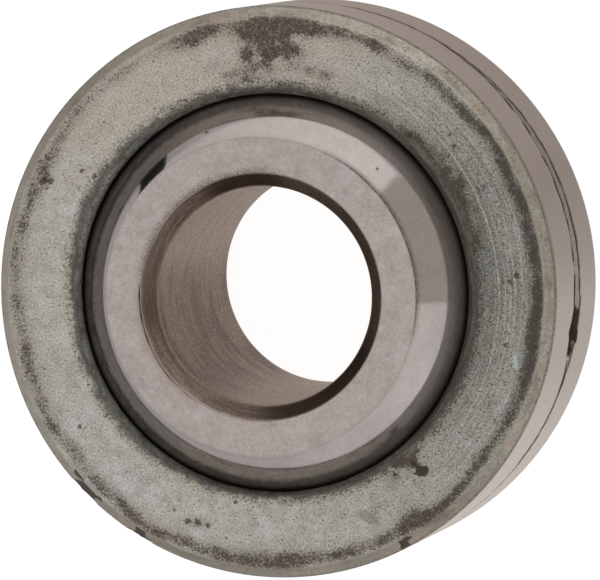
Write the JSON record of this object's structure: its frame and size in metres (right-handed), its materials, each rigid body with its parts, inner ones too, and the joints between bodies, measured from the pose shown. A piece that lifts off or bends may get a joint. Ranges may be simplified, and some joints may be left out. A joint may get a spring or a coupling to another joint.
{
  "type": "spherical plain bearing",
  "caption": "Spherical plain bearing: a bored steel ball that swivels in a one-piece swaged ring, zinc plated faces and a ground outside.",
  "frame": {"origin": "centre of the ball, on the bearing's axis, halfway between the ball's two flat faces", "axes": "+Z along the bearing's axis, up through the bore; +X to the side where the ring's open pit lies"},
  "size_m": [0.0166, 0.0166, 0.0088],
  "materials": {
    "ball": "ground and lapped, satin end faces and a bright spherical zone",
    "ring": "mottled zinc plate with brown stains on the faces, ground bare steel outside"
  },
  "bodies": {
    "ball": {"inner_ring": "ball"},
    "ring": {"outer_ring": "ring"}
  },
  "joints": [
    {"name": "ring_swivel", "type": "hinge", "parent": "ball", "child": "ring", "pos_m": [0, 0, 0], "axis": [1, 0, 0], "range_deg": [-10.9, 10.9]}
  ]
}
